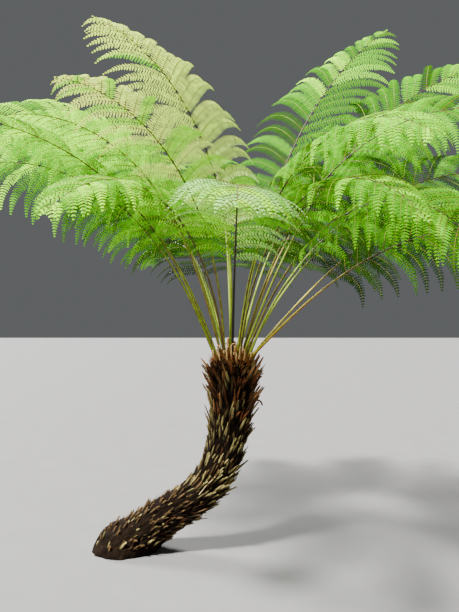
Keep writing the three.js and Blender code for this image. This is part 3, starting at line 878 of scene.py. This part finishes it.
    def fibres(self, settings):
        dealer = random.Random(23)
        rows = []
        for _ in range(settings.fibre_count):
            age = dealer.random()
            middle, ahead, across, top, radius = trunk_section(age)
            turn = dealer.uniform(0, tau)
            outward = around(across, top, turn)
            lean = np.cross(ahead, outward) * dealer.uniform(-0.5, 0.5)
            way = unit(ahead * dealer.choice((1, 1, -1)) + outward * dealer.uniform(0.05, 0.5) + lean)
            length = dealer.uniform(0.04, 0.11)
            root = middle + outward * (radius - 6 * MM)
            if min(root[2], (root + way * length)[2]) < LOWEST:
                continue
            tint = 1 if dealer.random() < 0.2 + 0.6 * (age > 0.8) else 0
            rows.append((root, way, outward, (3 * MM, 3 * MM, length), tint))
        materials = [
            strand_material("Dark rootlets", linear("#1c110a")),
            strand_material("Red-brown rootlets", linear("#59301a")),
        ]
        return self.bristles("trunk_rootlets", rows, strand_shapes(3), bristle_tree("Rootlets", materials), 9)

    def scales(self, settings):
        """Hairy scales on the dome and on the feet of the stalks that stand in it."""
        dealer = random.Random(31)
        feet = [(frond_line(plan), plan.length) for plan in FRONDS]
        rows = []
        for i in range(settings.scale_count):
            if i % 2:
                middle, ahead, across, top, radius = core_section(mix(0.9, 1, dealer.random() ** 0.8))
                radius *= dealer.random() ** 0.4 if i % 4 == 1 else 1
                turn = dealer.uniform(0, tau)
                outward = around(across, top, turn)
                root = middle + outward * (radius - 4 * MM)
                way = unit(ahead * dealer.uniform(0.5, 1.4) + outward * dealer.uniform(0.2, 1))
                length = dealer.uniform(0.02, 0.045)
            else:
                line, length = dealer.choice(feet)
                up = dealer.random() ** 1.4 * 0.07
                middle, ahead, across, top = line((up - 0.01) / length)
                turn = dealer.uniform(0, tau)
                outward = around(across, top, turn)
                root = middle + outward * (STALK_RADIUS - 2 * MM)
                way = unit(ahead * dealer.uniform(0.7, 1.3) + outward * dealer.uniform(0.15, 0.8))
                length = dealer.uniform(0.015, 0.035) * (1 - 6 * up)
            lot = dealer.random()
            tint = 0 if lot < 0.45 else 1 if lot < 0.8 else 2
            rows.append((root, way, outward, (3.5 * MM, 3.5 * MM, length), tint))
        materials = [
            strand_material("Golden scales", settings.scale_colour),
            strand_material("Brown scales", linear("#7d5026")),
            strand_material("Red scales", linear("#a8501c")),
        ]
        return self.bristles("crown_scales", rows, strand_shapes(4), bristle_tree("Scales", materials), 12)

    def dead_stalks(self):
        """A fallen stalk across the trunk's bend, a hooked one at its side, and curls round the dome."""
        materials = [
            scaly_material("Straw dead stalk", "#a5935e", "#6e5a34"),
            scaly_material("Brown dead stalk with its skin", "#5a3c22", "#2e1c10"),
            scaly_material("Curled golden stalk", "#e0b06a", "#9a6230"),
        ]
        lines = [(np.array(route) * MM, thick * MM, tint) for route, thick, tint in DEAD_STALKS]
        dealer = random.Random(41)
        brim = WAIST_RADIUS + SHOULDER_EXTRA
        for k, (heading, out, height) in enumerate(CURLS):
            outward = level(heading)
            side = np.cross(UP, outward) * (1 if k % 2 else -1)
            climb = sqrt((1 - (out * MM / brim) ** 2) / (1 - DOME_TOP**2))
            foot = CROWN + outward * out * MM + UP * (DOME_HEIGHT * climb - 12 * MM)
            tall = height * MM
            coil = tall * 0.22
            route = [foot + tall * (UP * a + outward * b) for a, b in ((0, 0), (0.5, 0.25), (1, 0.3))]
            turn = dealer.uniform(0.7, 1.2)
            for step in range(1, 8):
                a = step * 0.7 * turn
                size = coil * (1 - 0.09 * step)
                route.append(route[2] + side * coil - side * size * cos(a) + UP * size * sin(a))
            lines.append((np.array(route), 6 * MM, 2))
        rows = []
        for route, thick, tint in lines:
            at, _ = route_curve(list(route), 12)
            shares = [k / 24 for k in range(25)]
            rows.append([(at(share), AWAY, thick * mix(1, 0.55, share), 0.0, tint) for share in shares])
        tree = limb_tree("Dead stalk limbs", materials)
        return grown("dead_stalks", wire(rows), tree, {"Sides": 8})


class FERN_OT_fronds(bpy.types.Operator):
    """The fronds: a stalk and ribs, and the leaf segments along them, for each frond"""

    bl_idname = "fern.fronds"
    bl_label = "Fronds"

    def execute(self, context):
        settings, leaf = context.scene.fern_frond, context.scene.fern_leaf
        # Among the leaf materials, deep and olive paint shade, while pale, bleached and the silvery one paint
        # highlights.
        leaves = [leaf_material(f"Fern leaf, {tint}", getattr(leaf, tint)) for tint in LEAF_TINTS]
        red, brown = linear("#8c3c14"), linear("#523a14")
        stalks = {
            "green": stalk_material("Green fern stalk", settings.stalk_green, brown),
            "brown": stalk_material("Brown fern stalk", settings.stalk_brown, brown),
            "red": stalk_material("Red-brown fern stalk", settings.stalk_red, red),
            "dark": stalk_material("Dark fern stalk", settings.stalk_dark, linear("#15100b")),
        }
        leaf_maker = leaflet_tree(leaves)
        limb_maker = limb_tree("Frond limbs", [])
        segment = segment_shape()
        for number, plan in enumerate(FRONDS, 1):
            name = f"frond_{number:02d}"
            main, side = self.lines(number, plan, settings)
            stalk = grown(f"{name}_rib", wire(main), limb_maker, {"Sides": 10})
            ribs = grown(f"{name}_side_ribs", wire(side), limb_maker, {"Sides": 4})
            with context.temp_override(active_object=stalk, selected_editable_objects=[stalk, ribs]):
                bpy.ops.object.join()
            # The ribs have the finish of the stalk.
            stalk.data.materials.append(stalks[plan.finish])
            inputs = {"Segment": segment, "Spacing": settings.segment_spacing, "Fill": SEGMENT_FILL}
            foliage = grown(f"{name}_leaves", wire(side), leaf_maker, {**inputs, "Seed": number * 37})
            placed(stalk, "stalk", f"{name}_stalk")
            placed(foliage, "leaf", f"{name}_blade")
        bpy.data.objects.remove(segment)
        return {"FINISHED"}

    def lines(self, number, plan, settings):
        """The frond's middle line and its leaflets' lines, as rows of points with their values."""
        dealer = random.Random(100 + number)
        line, length = frond_line(plan), plan.length
        main = []
        for k in range(RIB_STEPS + 1):
            u = mix(-SOCKET_DEPTH / length, 1, k / RIB_STEPS)
            middle, _, _, top = line(u)
            if u < STALK_SHARE:
                thick = mix(STALK_RADIUS, RIB_RADIUS, max(u, 0) / STALK_SHARE)
            else:
                thick = mix(RIB_RADIUS, RIB_TIP_RADIUS * 0.5, (u - STALK_SHARE) / (1 - STALK_SHARE))
            main.append((middle, top, thick, 0.0, 0))
        side = []
        for pair in range(settings.pairs):
            s = (pair + 0.5) / settings.pairs
            v = LEAFLETS_END * (1 - (1 - s) ** 1.22)
            for hand in (1, -1):
                here = v + dealer.uniform(-0.25, 0.25) / settings.pairs
                middle, ahead, across, _ = line(mix(STALK_SHARE, 1, min(max(here, 0), 1)))
                forward = mix(FORWARD_FIRST, FORWARD_LAST, v) + dealer.uniform(-0.06, 0.06)
                out = unit(across * hand * sin(forward) + ahead * cos(forward))
                along = unit(ahead * sin(forward) - across * hand * cos(forward))
                down = unit(-UP + out * out[2])
                long = leaflet_share(v) * settings.leaflet_length * length / FULL_LENGTH
                long *= dealer.uniform(0.93, 1.03)
                droop = LEAFLET_DROOP * dealer.uniform(0.75, 1.15)
                twist = dealer.uniform(-0.18, 0.18)
                tint = self.tint(dealer, plan, v)
                row = []
                for k in range(LEAFLET_STEPS + 1):
                    t = k / LEAFLET_STEPS
                    bend = droop * t**2 - LEAFLET_LIFT
                    place = middle + out * long * t * cos(bend) + down * long * t * sin(bend)
                    slope = unit(out * cos(bend * 1.6) + down * sin(bend * 1.6))
                    normal = unit(hand * np.cross(along, slope) + along * twist * t)
                    # The segments are longest at 0.22 of the leaflet.
                    wide = 1 - (0.3 * (1 - t / 0.22) ** 2 if t < 0.22 else 0.86 * ((t - 0.22) / 0.78) ** 2.2)
                    size = settings.segment_length * wide * mix(0.55, 1, long / settings.leaflet_length)
                    row.append((place, normal, mix(2.1 * MM, 0.8 * MM, t), size, tint))
                side.append(row)
        row = []
        for k in range(5):
            middle, _, _, top = line(mix(0.965, 1, k / 4))
            size = 22 * MM * mix(1, 0.4, k / 4)
            row.append((middle, top, 1.2 * MM, size, self.tint(dealer, plan, 1)))
        side.append(row)
        return [main], side

    def tint(self, dealer, plan, v):
        """A leaflet's tint: paler towards the frond's tip and darker towards the stalk, partly for the leaves'
        age and partly as painted light and shade, with the cream painted highlight on the palest fronds only.
        """
        # Six in ten leaflets of the dark-stalked frond take the painted silvery highlight.
        if plan.finish == "dark" and dealer.random() < 0.6:
            return SILVER_HIGHLIGHT_TINT
        # The frond's paleness carries painted light. The term 2 (v - 0.4) paints leaflets near the stalk
        # darker, as shaded and older, and those towards the tip paler, as lit.
        palest = 6 if plan.pale > 5 else 5
        return int(min(max(round(plan.pale + dealer.gauss(0, 0.85) + 2 * (v - 0.4)), 0), palest))


class FERN_OT_croziers(bpy.types.Operator):
    """The young fronds, still coiled, in the middle of the crown"""

    bl_idname = "fern.croziers"
    bl_label = "Young fronds"

    def execute(self, context):
        skin = scaly_material("Scaly young frond", "#a9783c", "#5c3a1c")
        tree = limb_tree("Coiled limbs", [skin])
        for number, (heading, out, height, coil) in enumerate(CROZIERS, 1):
            outward = level(heading)
            foot = CROWN + outward * out * MM + UP * (CROZIER_FOOT - SOCKET_DEPTH)
            stem = height * MM + SOCKET_DEPTH
            centre = foot + UP * stem - outward * coil * MM
            rows = [(foot + UP * stem * k / 8, outward, CROZIER_RADIUS, 0.0, 0) for k in range(8)]
            for k in range(49):
                t = k / 48
                size = coil * MM * (1 - 0.75 * t**0.8)
                a = COIL_TURN * t
                place = centre + outward * size * cos(a) + UP * size * sin(a)
                rows.append((place, outward, CROZIER_RADIUS * mix(0.95, 0.3, t), 0.0, 0))
            piece = grown(f"young_frond_{number}", wire([rows]), tree, {"Sides": 10})
            placed(piece, "scales", f"crozier_{number}")
        return {"FINISHED"}


class FERN_OT_stage(bpy.types.Operator):
    """The floor, the studio light and the camera"""

    bl_idname = "fern.stage"
    bl_label = "Stage"

    def execute(self, context):
        settings = context.scene.fern_stage
        half = settings.floor_size / 2
        corners = [(-half, -half, 0), (half, -half, 0), (half, half, 0), (-half, half, 0)]
        floor = linked("floor", mesh_of("floor", corners, faces=[(0, 1, 2, 3)]))
        made, tree, shader = new_material("Matt studio floor", roughness=0.9)
        # Faint unevenness, 0.3 m across.
        place = add(tree, "ShaderNodeTexCoord", out="Object")
        spot = add(tree, "ShaderNodeTexNoise", vector=place, scale=3.0)
        pale = {"stops": [(0.3, linear("#605f5d")), (0.7, linear("#646361"))]}
        tree.links.new(add(tree, "ShaderNodeValToRGB", pale, fac=spot), shader.inputs["Base Color"])
        floor.data.materials.append(made)
        world = bpy.data.worlds.new("Studio")
        world.use_nodes = True
        sky = world.node_tree.nodes["Background"].inputs
        sky["Color"].default_value = (*linear("#dfe3e6"), 1)
        sky["Strength"].default_value = 0.16
        context.scene.world = world
        for lamp in LAMPS:
            self.lamp(*lamp)
        camera = linked("camera", bpy.data.cameras.new("camera"))
        camera.data.lens = settings.camera_lens
        camera.data.sensor_width = 36
        camera.location = CAMERA_PLACE
        camera.rotation_euler = (CAMERA_TILT, 0, 0)
        context.scene.camera = camera
        return {"FINISHED"}

    def lamp(self, name, place, width, power):
        """A far lamp that shines from the place at the plant. Its width in degrees softens its shadows."""
        light = bpy.data.lights.new(name, "SUN")
        light.angle = radians(width)
        light.energy = power
        made = linked(name, light)
        made.location = place
        made.rotation_euler = (LAMPS_AIM - Vector(place)).to_track_quat("-Z", "Y").to_euler()


OPERATORS = (FERN_OT_trunk, FERN_OT_fronds, FERN_OT_croziers, FERN_OT_stage)
SETTINGS = {
    "fern_trunk": TrunkSettings,
    "fern_frond": FrondSettings,
    "fern_leaf": LeafSettings,
    "fern_stage": StageSettings,
}


class FERN_PT_panel(bpy.types.Panel):
    """The fern's sizes, colours and operators"""

    bl_idname = "FERN_PT_panel"
    bl_label = "Tree fern"
    bl_space_type = "VIEW_3D"
    bl_region_type = "UI"
    bl_category = "Tree fern"

    def draw(self, context):
        for name, group in SETTINGS.items():
            box = self.layout.box()
            for key in group.__annotations__:
                box.prop(getattr(context.scene, name), key)
        for operator in OPERATORS:
            self.layout.operator(operator.bl_idname)


CLASSES = (*SETTINGS.values(), *OPERATORS, FERN_PT_panel)


def register():
    for cls in CLASSES:
        bpy.utils.register_class(cls)
    for name, group in SETTINGS.items():
        setattr(bpy.types.Scene, name, PointerProperty(type=group))


def unregister():
    for name in SETTINGS:
        delattr(bpy.types.Scene, name)
    for cls in reversed(CLASSES):
        bpy.utils.unregister_class(cls)


def main():
    register()
    for operator in OPERATORS:
        group, name = operator.bl_idname.split(".")
        getattr(getattr(bpy.ops, group), name)()
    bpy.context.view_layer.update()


if __name__ == "__main__":
    main()
